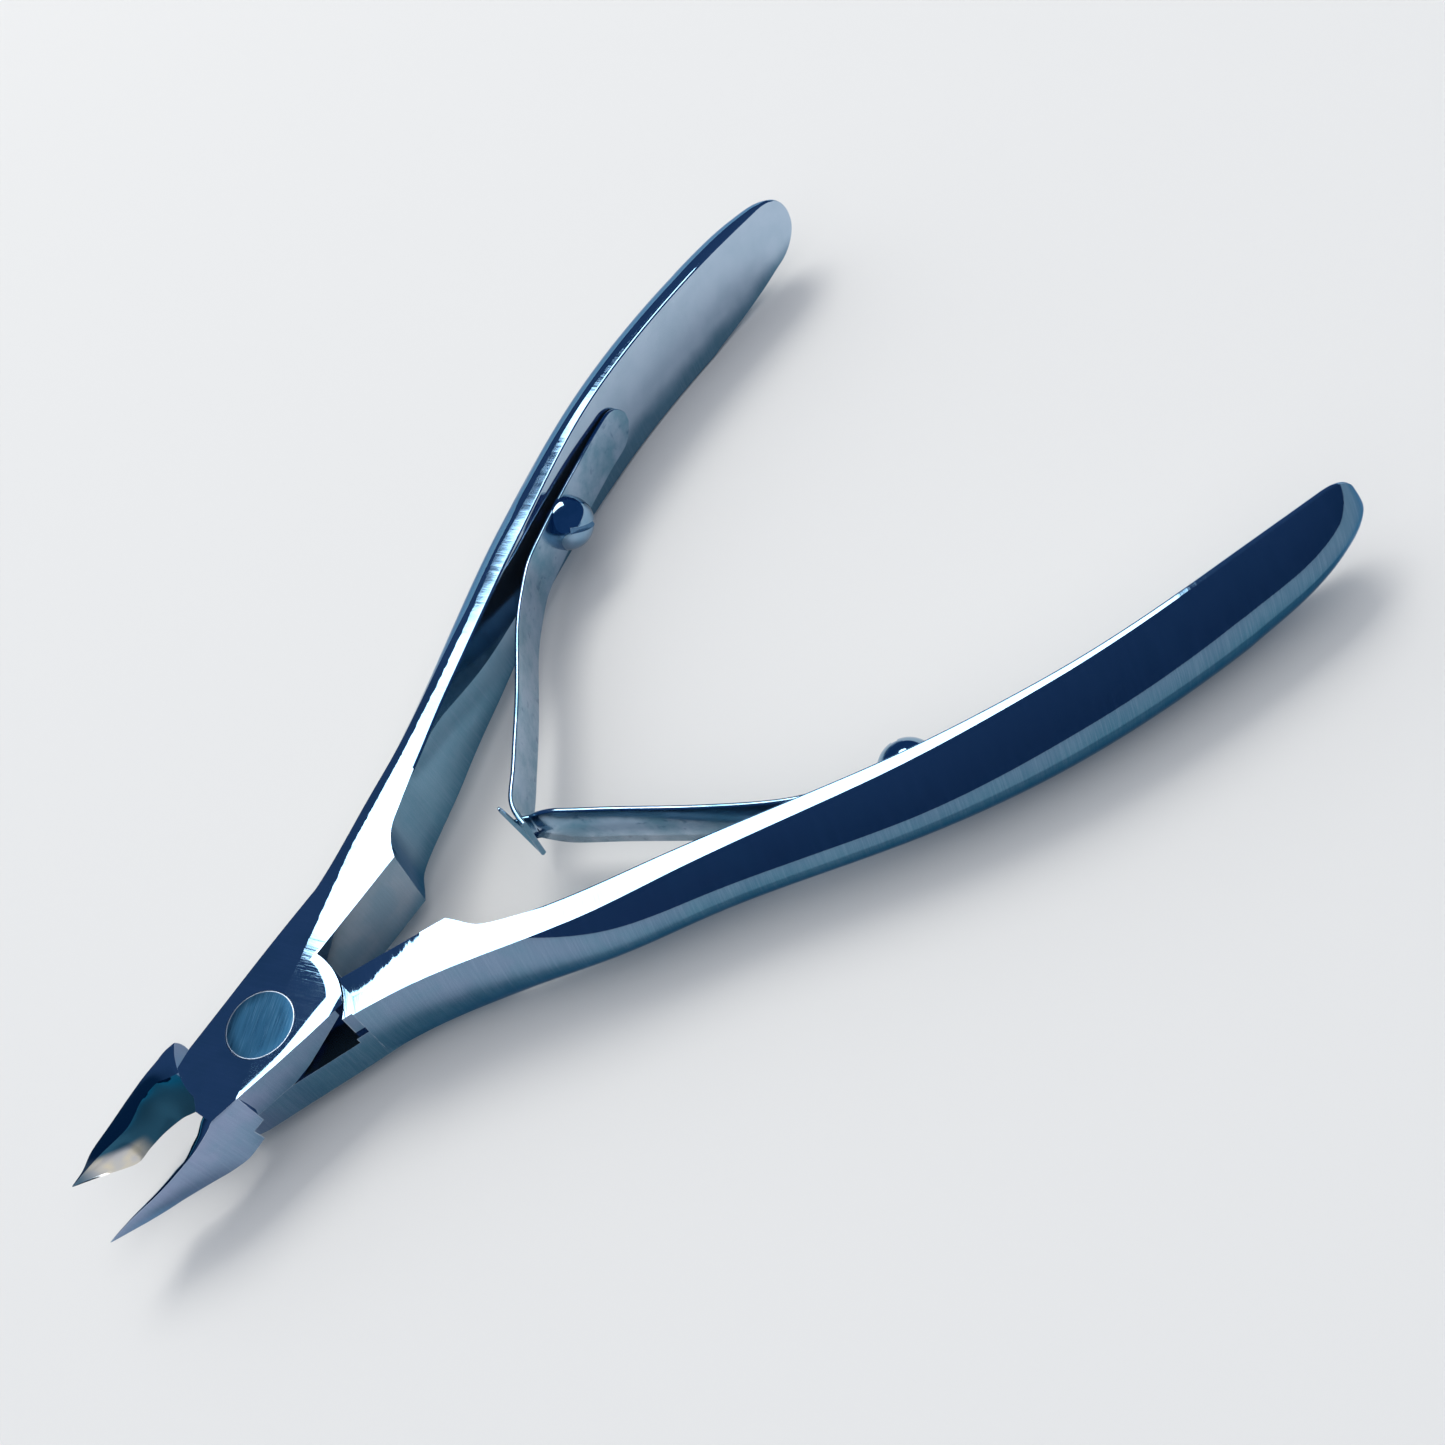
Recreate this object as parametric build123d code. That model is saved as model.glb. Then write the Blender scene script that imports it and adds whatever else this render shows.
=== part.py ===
"""Cuticle nipper: two crossed halves on a flush rivet, held open by two hooked leaf springs.

Frame, in millimetres: the origin lies on the rivet's axis, in the flat lower face of the joint.
+X runs back towards the handle ends, +Y towards the handle of the upper half, +Z up through the rivet.
The nipper is stored open, as its springs leave it.
"""

from build123d import *
from math import atan2, cos, degrees, radians, sin
import os

os.makedirs("parts", exist_ok=True)

# Joint
joint_thickness = 6.9
half_thickness = joint_thickness / 2
lap_gap = 0.02
rear_radius = 6.9
front_radius = 7.2
turning_gap = 0.15
rivet_head_radius = 2.92
rivet_shank_radius = 2.1
rivet_head_land = 0.5
rivet_cone_end = 1.6
rivet_play = 0.05

# Crotch behind the joint: flats that point at the rivet, and a shoulder where each flat ends
flat_angle_upper = 12.0
flat_angle_lower = 16.3
shoulder_radius = 16.9
shoulder_foot = (17.9, 7.5)

# Joint plates, in plan, for the half whose handle is on +Y
rear_corner = (5.66, -3.95)
plate_handle_side = [(10.8, 3.4), (10.8, 7.0), (4.2, 5.3), (-5.2, 3.0)]
nose_top = (-6.81, 2.34)
nose_bottom = (-7.15, -0.87)
plate_front = [(-7.7, -2.1), (-7.3, -3.8)]
relief_start = -0.4
relief_height = 2.75
relief_depth_y = -2.45

# Jaws: each stands open by this angle, and its cutting edge lies in a plane through the rivet axis
jaw_open_angle = 9.8
jaw_length = 19.05
edge_heel = 14.66

# Handles, as sections across X: distance back, inner face, flat land, full thickness, half width
handle_sections = [
    (4.0, 1.0, 4.2, 4.4, 3.45),
    (11.0, 4.2, 2.85, 3.4, 3.45),
    (18.0, 7.7, 3.0, 4.0, 3.45),
    (31.0, 14.15, 2.2, 4.6, 3.5),
    (45.0, 21.4, 1.4, 4.75, 4.1),
    (60.0, 27.75, 0.75, 4.35, 5.05),
    (75.0, 31.3, 0.5, 4.5, 5.2),
    (90.5, 33.6, 0.4, 3.4, 4.5),
]
handle_end = 90.0
end_taper = 6.0
end_half_width = 4.9

# Leaf springs and their screws
leaf_thickness = 0.5
leaf_standoff = 0.12
leaf_width = 5.0
tongue_neck_width = 3.2
tongue_head_width = 8.0
tongue_head_length = 0.8
slot_length = 4.0
slot_width = 1.3
screw_distance = 49.1
screw_head_radius = 2.6
screw_head_height = 2.9
screw_shank_radius = 1.2
screw_shank_depth = 3.2
screw_slot_width = 0.55
screw_slot_depth = 0.8
screw_play = 0.05


def inner_face_at(distance):
    """Y of a handle's inner face, straight between its sections."""
    for (x0, y0, *_), (x1, y1, *_) in zip(handle_sections, handle_sections[1:]):
        if x0 <= distance <= x1:
            return y0 + (y1 - y0) * (distance - x0) / (x1 - x0)
    raise ValueError("no handle at this distance")


def handle_section(distance, inner, land, thickness, half_width):
    """One cross-section: flat inner face, narrow flat lands, crowned outer face."""
    corner = (inner + land, half_width)
    lower_corner = (inner + land, -half_width)
    outline = Line((inner, -half_width), (inner, half_width))
    outline += Line((inner, half_width), corner)
    outline += ThreePointArc(corner, (inner + thickness, 0), lower_corner)
    outline += Line(lower_corner, (inner, -half_width))
    return Plane.YZ.offset(distance) * make_face(outline)


def handle():
    """The handle on the +Y side, with its tongue-shaped end."""
    blank = loft([handle_section(*row) for row in handle_sections])
    end_centre = handle_end - end_taper
    side_view = Pos(end_centre / 2, 0) * Rectangle(end_centre, 20)
    side_view += Pos(end_centre, 0) * Ellipse(end_taper, end_half_width)
    return blank & extrude(Plane.XZ * side_view, amount=-60)


def flat_point(radius, angle):
    return (radius * cos(radians(angle)), radius * sin(radians(angle)))


def crotch_block(flat_angle):
    """Full-thickness web between the handle and the flat, down to the shoulder."""
    start = flat_point(rear_radius + turning_gap, flat_angle)
    shoulder = flat_point(shoulder_radius, flat_angle)
    plan = Polyline(start, shoulder, shoulder_foot, (19.0, 8.6), (14.0, 8.0), (4.5, 5.2), start)
    web = extrude(make_face(plan), amount=half_thickness, both=True)
    return web - Cylinder(rear_radius + turning_gap, 2 * joint_thickness)


def plate_outline(flat_angle):
    """Plan of a joint plate."""
    rear_edge = flat_point(rear_radius, flat_angle)
    corner_angle = degrees(atan2(rear_corner[1], rear_corner[0]))
    outline = ThreePointArc(rear_corner, flat_point(rear_radius, (flat_angle + corner_angle) / 2), rear_edge)
    outline += Polyline(rear_edge, *plate_handle_side, nose_top)
    outline += ThreePointArc(nose_top, (-front_radius, 0), nose_bottom)
    outline += Polyline(nose_bottom, *plate_front, rear_corner)
    return make_face(outline)


def joint_plate(flat_angle):
    """Upper plate of the lap joint, with a wedge cut away under its rear corner."""
    plate = extrude(Pos(0, 0, lap_gap) * plate_outline(flat_angle), amount=half_thickness - lap_gap)
    ramp_top = (5.2, relief_height)
    back = 8.0
    wedge = Polyline((relief_start, 0), ramp_top, (back, relief_height), (back, -1), (relief_start, -1), close=True)
    relief_cut = extrude(Plane.XZ * make_face(wedge), amount=3.0)
    return plate - Pos(0, relief_depth_y, 0) * relief_cut


def jaw_section(distance, points):
    """One jaw section; points are distance out from the closing plane and height."""
    outline = Polyline(*[(-out, height) for out, height in points], close=True)
    return Plane.YZ.offset(-distance) * make_face(outline)


def jaw(root_sections):
    """A jaw on the -Y side, closed: ridge on top, hollow inside, cutting edge at its front foot."""
    sections = root_sections + [
        (10.4, [(2.05, 2.5), (2.65, 2.85), (3.1, 1.2), (3.2, -1.15), (1.8, -2.75), (1.55, -2.8), (1.95, 0)]),
        (12.7, [(1.1, 1.1), (2.1, 2.15), (2.45, 0.8), (2.15, -1.0), (1.15, -2.4), (0.95, -2.45), (1.05, -0.6)]),
        (edge_heel, [(0.85, 0.85), (1.5, 1.6), (1.7, 0.5), (1.35, -1.0), (0.12, -2.1), (0.0, -2.12), (0.45, -0.6)]),
        (16.9, [(0.5, 0.65), (0.75, 1.05), (0.88, 0.35), (0.65, -0.6), (0.1, -0.94), (0.0, -0.95), (0.25, -0.15)]),
        (jaw_length, [(0.02, 0.29), (0.05, 0.29), (0.07, 0.26), (0.06, 0.23), (0.03, 0.2), (0.0, 0.2), (0.01, 0.25)]),
    ]
    return loft([jaw_section(*row) for row in sections], ruled=True)


def jaw_root(near, far):
    """The first two sections of a jaw, where it leaves the joint; each is given by its outer points."""
    t = half_thickness
    return [
        (5.3, [(0.6, t)] + near + [(0.6, -t), (0.6, 0)]),
        (8.1, [(1.25, t - 0.05)] + far + [(1.85, -t), (1.6, 0)]),
    ]


def rivet_profile(play):
    """Half profile of the rivet, or with play added, of the hole it turns in."""
    head = rivet_head_radius + play
    shank = rivet_shank_radius + play
    land = half_thickness - rivet_head_land
    cone = half_thickness - rivet_cone_end
    top = half_thickness + play
    points = [(0, -top), (head, -top), (head, -land), (shank, -cone), (shank, cone), (head, land), (head, top), (0, top)]
    return make_face(Plane.XZ * Polyline(*points, close=True))


def rivet_solid(play=0.0):
    return revolve(rivet_profile(play), Axis.Z)


def screw_plane():
    """Plane on the handle's inner face at the screw: its Z points away from the handle."""
    behind = inner_face_at(screw_distance + 2)
    ahead = inner_face_at(screw_distance - 2)
    slope = atan2(behind - ahead, 4)
    origin = (screw_distance, inner_face_at(screw_distance), 0)
    return Plane(origin=origin, x_dir=(cos(slope), sin(slope), 0), z_dir=(sin(slope), -cos(slope), 0))


def leaf_base_points():
    """Centre line of a leaf along its handle, from the rounded end towards the joint."""
    offset = leaf_standoff + leaf_thickness / 2
    return [(x, inner_face_at(x) - offset) for x in (61.8, 58.0, 54.0, 49.1, 45.5)]


def leaf_strip(points, width):
    """A strip of spring sheet that stands on edge along a smooth plan curve."""
    centre_line = Spline(*points)
    return extrude(trace(centre_line, line_width=leaf_thickness), amount=width / 2, both=True)


def rounded_base(leaf):
    """Round the leaf's far end to a half circle, as seen along the screw."""
    end = Plane.XZ * (Pos(30.0, 0) * Rectangle(58.6, 20) + Pos(59.3, 0) * Circle(leaf_width / 2))
    return leaf & extrude(end, amount=-60, both=True)


def screw_hole(depth):
    """Hole round the screw's axis, this deep to each side of the handle's inner face."""
    return screw_plane() * Cylinder(screw_shank_radius + screw_play, 2 * depth)


def slotted_leaf():
    """Leaf of the +Y handle; its turned-down tab carries the slot."""
    bend = (27.3, 1.9)
    tab_end = (25.85, -2.0)
    body = leaf_strip(leaf_base_points() + [(41.4, 18.6), (37.2, 13.4), (31.0, 6.2), bend], leaf_width)
    tab = extrude(trace(Line(bend, tab_end), line_width=leaf_thickness), amount=leaf_width / 2, both=True)
    slot = Pos(26.55, -0.1, 0) * Box(3.0, slot_width, slot_length)
    return rounded_base(body) + tab - slot - screw_hole(3.0)


def tongue_leaf():
    """Leaf of the -Y handle, drawn on the +Y side and mirrored; its T-shaped tongue fills the slot."""
    root = (27.9, 0.75)
    neck_start = (27.0, 0.25)
    tip = (25.1, -0.2)
    body = leaf_strip(leaf_base_points() + [(41.4, 18.6), (37.2, 13.4), (31.5, 6.0), root], leaf_width)
    tongue = Spline(root, neck_start, tip)
    neck = extrude(trace(tongue, line_width=leaf_thickness), amount=tongue_neck_width / 2, both=True)
    head = extrude(trace(tongue, line_width=leaf_thickness), amount=tongue_head_width / 2, both=True)
    head &= Pos(tip[0], 0, 0) * Box(2 * tongue_head_length, 10, tongue_head_width)
    leaf = rounded_base(body) + neck + head - screw_hole(3.0)
    return leaf.mirror(Plane.XZ)


def spring_screw():
    """Slotted round-head screw that holds a leaf to the +Y handle."""
    seat = leaf_standoff + leaf_thickness + 0.02
    crown = (screw_head_radius**2 + screw_head_height**2) / (2 * screw_head_height)
    dome = Pos(0, 0, seat + screw_head_height - crown) * Sphere(crown)
    head = dome & Pos(0, 0, seat + screw_head_height / 2) * Cylinder(screw_head_radius, screw_head_height)
    length = screw_shank_depth + seat + 0.2
    shank = Pos(0, 0, seat + 0.2 - length / 2) * Cylinder(screw_shank_radius, length)
    top = seat + screw_head_height
    groove = Pos(0, 0, top) * Box(screw_slot_width, 2 * screw_head_radius, 2 * screw_slot_depth)
    return screw_plane() * (head + shank - groove)


def upper_half():
    """Half with the upper plate: handle on +Y, jaw on -Y."""
    t = half_thickness
    near = [(2.97, t), (3.3, 0.6), (3.7, -1.35), (2.3, -t)]
    far = [(2.6, t - 0.05), (3.2, 1.2), (3.95, -1.3), (2.3, -t)]
    level_cut = Pos(0, 0, -half_thickness) * Cylinder(front_radius + turning_gap, joint_thickness)
    jaw_piece = jaw(jaw_root(near, far)).rotate(Axis.Z, jaw_open_angle) - level_cut
    return finish_half(jaw_piece, flat_angle_upper)


def lower_half():
    """Half with the lower plate: handle on -Y, jaw on +Y."""
    t = half_thickness
    near = [(3.3, t), (3.7, 1.3), (3.1, -0.3), (2.9, -t)]
    far = [(3.15, t), (3.75, 1.2), (3.2, -1.0), (2.3, -t)]
    level_cut = Pos(0, 0, half_thickness) * Cylinder(front_radius + turning_gap, joint_thickness)
    jaw_piece = jaw(jaw_root(near, far)).mirror(Plane.XZ).rotate(Axis.Z, -jaw_open_angle) - level_cut
    return finish_half(jaw_piece.rotate(Axis.X, 180), flat_angle_lower).rotate(Axis.X, 180)


def finish_half(jaw_piece, flat_angle):
    """Join handle, web, plate and jaw of a half whose plate is the upper one."""
    level_cut = Pos(0, 0, -half_thickness) * Cylinder(rear_radius + turning_gap, joint_thickness + lap_gap * 2)
    behind = handle() + crotch_block(flat_angle) - level_cut
    half = behind + joint_plate(flat_angle) + jaw_piece
    return half - screw_hole(screw_shank_depth)


lift = Pos(0, 0, half_thickness)
upper = upper_half() - rivet_solid(rivet_play)
lower = lower_half() - rivet_solid()

pieces = {
    "half_upper_plate": upper,
    "half_lower_plate": lower,
    "joint_rivet": rivet_solid(),
    "leaf_spring_slotted": slotted_leaf(),
    "leaf_spring_tongue": tongue_leaf(),
    "spring_screw_upper": spring_screw(),
    "spring_screw_lower": spring_screw().mirror(Plane.XZ),
}

for name, piece in pieces.items():
    export_step(lift * piece, f"parts/{name}.step")
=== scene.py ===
"""Looks of a blue-coated cuticle nipper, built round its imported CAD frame.

Shapes are worked out in millimetres about the joint's mid-plane, with +Z up through the rivet,
and put in place, in metres, when each object is made.
"""
import bmesh
import bpy
import numpy as np
from math import atan2, cos, hypot, pi, radians, sin, sqrt
from mathutils import Matrix, Vector


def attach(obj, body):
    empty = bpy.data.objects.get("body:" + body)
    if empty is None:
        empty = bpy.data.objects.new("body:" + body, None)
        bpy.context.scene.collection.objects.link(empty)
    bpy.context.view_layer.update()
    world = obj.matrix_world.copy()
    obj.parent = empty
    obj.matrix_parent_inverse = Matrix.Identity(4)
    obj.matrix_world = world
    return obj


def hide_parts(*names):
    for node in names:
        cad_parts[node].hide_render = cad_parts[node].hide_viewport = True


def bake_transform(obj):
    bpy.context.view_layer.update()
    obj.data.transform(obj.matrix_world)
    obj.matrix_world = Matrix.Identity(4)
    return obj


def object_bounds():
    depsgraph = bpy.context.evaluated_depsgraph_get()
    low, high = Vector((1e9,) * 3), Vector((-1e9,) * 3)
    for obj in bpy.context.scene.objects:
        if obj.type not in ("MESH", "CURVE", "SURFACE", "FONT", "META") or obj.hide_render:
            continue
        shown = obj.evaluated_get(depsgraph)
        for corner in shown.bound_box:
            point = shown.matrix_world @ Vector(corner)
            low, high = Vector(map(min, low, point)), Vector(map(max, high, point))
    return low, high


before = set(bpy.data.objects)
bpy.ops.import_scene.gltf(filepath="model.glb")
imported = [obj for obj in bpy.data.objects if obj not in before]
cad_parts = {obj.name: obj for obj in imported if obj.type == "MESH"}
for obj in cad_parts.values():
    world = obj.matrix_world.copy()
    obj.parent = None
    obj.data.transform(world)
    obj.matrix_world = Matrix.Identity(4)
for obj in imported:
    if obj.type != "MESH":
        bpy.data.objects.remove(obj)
cad_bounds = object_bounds()

MM = 0.001
HALF = 3.45                      # half the joint's thickness
LAP_GAP = 0.02                   # between the two plates
REAR_R = 6.9                     # the plate's rear arc, round the rivet
FRONT_R = 7.2                    # the plate's nose
TURN_GAP = 0.15                  # round those arcs, for the other half to turn in
OPEN_ANGLE = 9.8                 # of each jaw from the middle, in degrees
JAW_START = 5.3                  # along a jaw from the rivet: where its shape starts,
EDGE_HEEL = 14.66                # the heel of its cutting edge,
JAW_TIP = 19.05                  # and its tip
BORE_R = 2.95                    # the rivet's hole
WELD = 1e-5                      # points closer than this are one point
COARSE_TIDY = 0.01               # scraps smaller than these go, before and after the last cuts
FINE_TIDY = 0.004
EDGE_ROUND = 0.1                 # bevel along a half's edges that are sharper than this, in degrees
EDGE_ANGLE = 33


# ---------------------------------------------------------------- small maths
def spline(xs, ys):
    """Natural cubic spline through the points, as a function."""
    xs, ys = np.asarray(xs, float), np.asarray(ys, float)
    n = len(xs)
    h = np.diff(xs)
    a = np.eye(n)
    rhs = np.zeros(n)
    for i in range(1, n - 1):
        a[i, i - 1:i + 2] = h[i - 1], 2 * (h[i - 1] + h[i]), h[i]
        rhs[i] = 6 * ((ys[i + 1] - ys[i]) / h[i] - (ys[i] - ys[i - 1]) / h[i - 1])
    m = np.linalg.solve(a, rhs)

    def value(x):
        i = int(np.clip(np.searchsorted(xs, x) - 1, 0, n - 2))
        u, v = xs[i + 1] - x, x - xs[i]
        cubic = (m[i] * u ** 3 + m[i + 1] * v ** 3) / (6 * h[i])
        return cubic + (ys[i] / h[i] - m[i] * h[i] / 6) * u + (ys[i + 1] / h[i] - m[i + 1] * h[i] / 6) * v

    return value


def monotone(xs, ys):
    """Cubic through the points with no overshoot, as a function; ys may be rows of numbers."""
    xs, ys = np.asarray(xs, float), np.asarray(ys, float)
    h = np.diff(xs)
    d = np.diff(ys, axis=0) / (h[:, None] if ys.ndim > 1 else h)
    slope = np.zeros_like(ys)
    slope[0], slope[-1] = d[0], d[-1]
    same = d[:-1] * d[1:] > 0
    slope[1:-1] = np.where(same, 2 * d[:-1] * d[1:] / np.where(same, d[:-1] + d[1:], 1), 0)

    def value(x):
        i = int(np.clip(np.searchsorted(xs, x) - 1, 0, len(xs) - 2))
        t = (x - xs[i]) / h[i]
        from_start, from_end = 2 * t ** 3 - 3 * t ** 2 + 1, -2 * t ** 3 + 3 * t ** 2
        leave, arrive = t ** 3 - 2 * t ** 2 + t, t ** 3 - t ** 2
        return (from_start * ys[i] + leave * h[i] * slope[i]
                + from_end * ys[i + 1] + arrive * h[i] * slope[i + 1])

    return value


def smoothstep(a, b, x):
    """0 before a, 1 after b, and a smooth rise between them; b may be the smaller one."""
    t = np.clip((x - a) / (b - a), 0, 1)
    return t * t * (3 - 2 * t)


def polar(radius, angle):
    """Point at this radius and angle, in degrees."""
    return radius * cos(radians(angle)), radius * sin(radians(angle))


def arc_points(radius, start, end, count):
    return [polar(radius, start + (end - start) * i / count) for i in range(count + 1)]


# ---------------------------------------------------------------- mesh helpers
def new_object(name, mesh):
    obj = bpy.data.objects.new(name, mesh)
    bpy.context.scene.collection.objects.link(obj)
    return obj


def solid(name, rings):
    """Closed mesh through rings of points that all have the same count; both ends are capped."""
    verts = [tuple(p) for ring in rings for p in ring]
    n = len(rings[0])
    faces = []
    for i in range(len(rings) - 1):
        for j in range(n):
            k = (j + 1) % n
            faces.append((i * n + j, i * n + k, (i + 1) * n + k, (i + 1) * n + j))
    faces.append(tuple(reversed(range(n))))
    last = (len(rings) - 1) * n
    faces.append(tuple(last + j for j in range(n)))
    mesh = bpy.data.meshes.new(name)
    mesh.from_pydata(verts, [], faces)
    tidy(mesh, WELD)
    return new_object(name, mesh)


def tidy(mesh, distance):
    """Join points and remove faces smaller than this distance, and turn all faces outwards."""
    bm = bmesh.new()
    bm.from_mesh(mesh)
    bmesh.ops.remove_doubles(bm, verts=bm.verts, dist=distance)
    bmesh.ops.dissolve_degenerate(bm, edges=bm.edges, dist=distance)
    bmesh.ops.recalc_face_normals(bm, faces=bm.faces)
    bm.to_mesh(mesh)
    bm.free()


def prism(name, outline, low, high):
    """Solid with this outline in plan, between two heights."""
    return solid(name, [[(x, y, z) for x, y in outline] for z in (low, high)])


def drum(name, radius, low, high, count=192):
    """Upright cylinder at the origin, used only to cut."""
    return prism(name, arc_points(radius, 0, 360 * (1 - 1 / count), count - 1), low, high)


def applied(obj):
    """Bake an object's modifiers into its mesh."""
    mesh = bpy.data.meshes.new_from_object(obj.evaluated_get(bpy.context.evaluated_depsgraph_get()))
    obj.modifiers.clear()
    obj.data = mesh
    return obj


def combine(obj, other, operation):
    """Boolean of two objects; the second one is used up."""
    mod = obj.modifiers.new("boolean", "BOOLEAN")
    mod.object = other
    mod.operation = operation
    mod.solver = "EXACT"
    applied(obj)
    bpy.data.objects.remove(other)
    return obj


def bevelled(obj, width, angle):
    """Round off the edges that are sharper than this angle."""
    mod = obj.modifiers.new("bevel", "BEVEL")
    mod.width = width
    mod.segments = 2
    mod.limit_method = "ANGLE"
    mod.angle_limit = radians(angle)
    mod.use_clamp_overlap = True
    return applied(obj)


def place(obj, body, flip=False):
    """From the working frame, in mm, to the row frame, in metres."""
    turn = Matrix.Rotation(pi, 4, "X") if flip else Matrix.Identity(4)
    obj.data.transform(Matrix.Scale(MM, 4) @ Matrix.Translation((0, 0, HALF)) @ turn)
    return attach(obj, body)


def shade(obj, angle):
    """Smooth shading up to this angle, with broad faces kept flat."""
    obj.data.polygons.foreach_set("use_smooth", [True] * len(obj.data.polygons))
    obj.data.set_sharp_from_angle(angle=radians(angle))
    mod = obj.modifiers.new("normals", "WEIGHTED_NORMAL")
    mod.keep_sharp = True
    mod.weight = 50
    return applied(obj)


# ---------------------------------------------------------------- handles
# distance back, inner face, outer edge of the flat land, crowned outer face, half width; up to
# LAND_END what stands proud of the joint's faces is trimmed level with them
JOINT_ROWS = [(-6.6, -1.0, 2.05, 2.2, 3.6), (-2.0, -0.6, 3.5, 3.7, 3.6)]
UPPER_ROWS = JOINT_ROWS + [
    (4.0, 1.0, 4.9, 5.15, 3.6),
    (11.0, 3.9, 6.8, 7.5, 3.6),
    (18.0, 6.7, 9.9, 11.5, 3.5),
    (23.0, 9.35, 12.15, 14.3, 3.44),
    (28.0, 12.4, 14.75, 17.1, 3.47),
    (31.0, 14.1, 16.35, 18.85, 3.5),
    (45.0, 21.4, 22.8, 26.2, 4.1),
    (60.0, 27.75, 28.5, 32.5, 5.05),
    (75.0, 31.3, 31.8, 36.1, 5.2),
    (90.5, 33.6, 34.0, 37.6, 4.5),
]
LOWER_ROWS = JOINT_ROWS + [
    (4.0, 1.0, 5.0, 5.25, 3.6),
    (11.0, 4.2, 7.3, 7.9, 3.6),
    (18.0, 8.1, 10.8, 12.0, 3.5),
    (23.0, 10.8, 13.3, 15.1, 3.44),
    (31.0, 14.4, 16.45, 18.8, 3.5),
    (45.0, 21.4, 22.8, 26.15, 4.1),
    (60.0, 27.75, 28.5, 32.1, 5.05),
    (75.0, 31.3, 31.8, 35.3, 5.2),
    (90.5, 33.6, 34.0, 36.9, 4.5),
]
HANDLE_START = 5.7
LAND_END = 23.0
HANDLE_END = 89.95
END_MIDDLE = 0.4                 # height of the very end
STATION_STEP = 0.8
END_STATIONS_FROM = 80.0         # from here the rings crowd together towards the end
PLAN_ROUND = 79.0                # where the plan, the top and the foot start to round off
TOP_ROUND = 86.0
LOW_ROUND = 87.0
PLAN_POWER = 2.4                 # 2 is an ellipse, and more is squarer
TOP_POWER = 2.3
LOW_POWER = 2.0
LOW_TAPER_FROM = 76.0
LOW_TAPER = [(74.0, 5.25), (80.0, 4.62), (84.0, 3.9), (87.0, 3.1), (91.0, 2.4)]
INNER_LEAN = 0.8                 # how far an inner face leans, and where
LEAN_RISE = (14, 26)
LEAN_FALL = (32, 46)
RIDGE_POWER = 1.55
CORNER = 0.22                    # radius along the inner face's edges


def handle_sections(rows, round_top, flip):
    """Rings of the +Y handle, from inside the joint to its end; flip turns its upper side down."""
    columns = list(zip(*rows))
    inner, edge, outer = (spline(columns[0], c) for c in columns[1:4])
    width = monotone(columns[0], columns[4])
    taper = monotone(*zip(*LOW_TAPER))
    last_part = HANDLE_END - END_STATIONS_FROM
    stations = list(np.arange(HANDLE_START, END_STATIONS_FROM, STATION_STEP))
    stations += [END_STATIONS_FROM + last_part * sin(pi / 2 * t) for t in np.linspace(0.02, 1, 50)]
    rings = []
    for x in stations:
        low_width = taper(x) if x > LOW_TAPER_FROM else width(x)
        top = end_height(x, width(x), TOP_ROUND, TOP_POWER)
        low = -end_height(x, low_width, LOW_ROUND, LOW_POWER, -END_MIDDLE)
        part = max((x - PLAN_ROUND) / (HANDLE_END + 0.12 - PLAN_ROUND), 0)
        full = sqrt(1 - part ** PLAN_POWER)
        y0, land = inner(x), max(edge(x) - inner(x), 0.3)
        bulge = (outer(x) - inner(x) - land) * full + 0.02
        land = 0.06 + (land - 0.06) * full ** 0.5
        ring = section(y0, land, bulge, low, top, lean(x), round_top(x))
        rings.append([(x, y, -z if flip else z) for y, z in ring])
    return rings


def end_height(x, width, start, power, middle=END_MIDDLE):
    """Half width of a handle at x, rounded off from start to the handle's end."""
    part = min(max((x - start) / (HANDLE_END - start), 0), 1)
    return middle + (width - middle) * max(1 - part ** power, 1e-7) ** (1 / power)


def lean(x):
    """How far the foot of the inner face stands in from its top."""
    return INNER_LEAN * smoothstep(*LEAN_RISE, x) * (1 - smoothstep(*LEAN_FALL, x))


def crown(s, bulge, w, roundness):
    """Rise of the crown where s is 0 at its middle and 1 at its edge; part circle, part ridge."""
    if bulge < w:
        r = (bulge ** 2 + w ** 2) / (2 * bulge)
        circle = sqrt(max(r * r - (w * s) ** 2, 0)) - (r - bulge)
    else:
        circle = bulge * sqrt(1 - s * s)
    return roundness * circle + (1 - roundness) * bulge * (1 - abs(s) ** RIDGE_POWER)


def section(y0, land, bulge, low, top, slant, round_top):
    """One ring of a handle: flat inside, narrow lands, crowned outside."""
    mid, w = (top + low) / 2, (top - low) / 2
    corner = min(CORNER, w * 0.3, land * 0.45)
    quarter = np.linspace(0, pi / 2, 5)
    foot = y0 - slant
    points = [(y0 - slant * (1 - s) / 2, mid + (w - corner) * s) for s in np.linspace(-1, 1, 13)]
    points += [(y0 + corner * (1 - cos(a)), top - corner * (1 - sin(a))) for a in quarter[1:]]
    points += [(y, top) for y in np.linspace(y0 + corner, y0 + land, 6)[1:]]
    for a in np.linspace(pi / 2, -pi / 2, 41)[1:]:
        s = sin(a)
        rise = crown(abs(s), bulge, w, round_top if s > 0 else 1.0)
        points.append((y0 + land + rise, mid + w * s))
    points += [(y, low) for y in np.linspace(y0 + land, foot + corner, 6)[1:]]
    points += [(foot + corner * (1 - sin(a)), low + corner * (1 - cos(a))) for a in quarter[1:-1]]
    return points


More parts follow.
